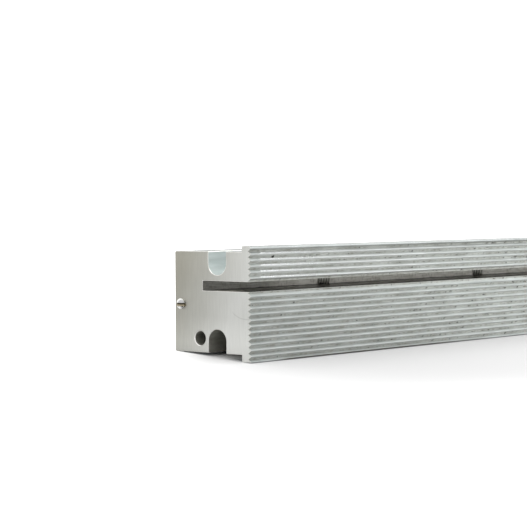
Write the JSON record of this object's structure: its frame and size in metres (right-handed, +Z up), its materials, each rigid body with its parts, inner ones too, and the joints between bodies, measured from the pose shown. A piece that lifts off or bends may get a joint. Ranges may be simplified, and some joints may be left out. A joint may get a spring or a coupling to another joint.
{
  "type": "heat sealing jaw",
  "caption": "Serrated steel sealing bar with a lengthwise knife slot, open heater channels above and below, a sensor bore and tapped rear mounting holes.",
  "frame": {"origin": "midway between the two tapped mounting holes, on the rear face, level with the middle of the knife slot", "axes": "+X along the bar toward the end without the sensor bore, +Y out of the rear mounting face, +Z up; the serrated sealing face looks toward -Y"},
  "size_m": [0.2913, 0.043, 0.0485],
  "materials": {
    "jaw_steel": "satin plated faces and ground end faces",
    "screw_steel": "bright zinc plated"
  },
  "bodies": {
    "root": {"jaw_body": "jaw_steel", "end_screw": "screw_steel"}
  },
  "joints": []
}
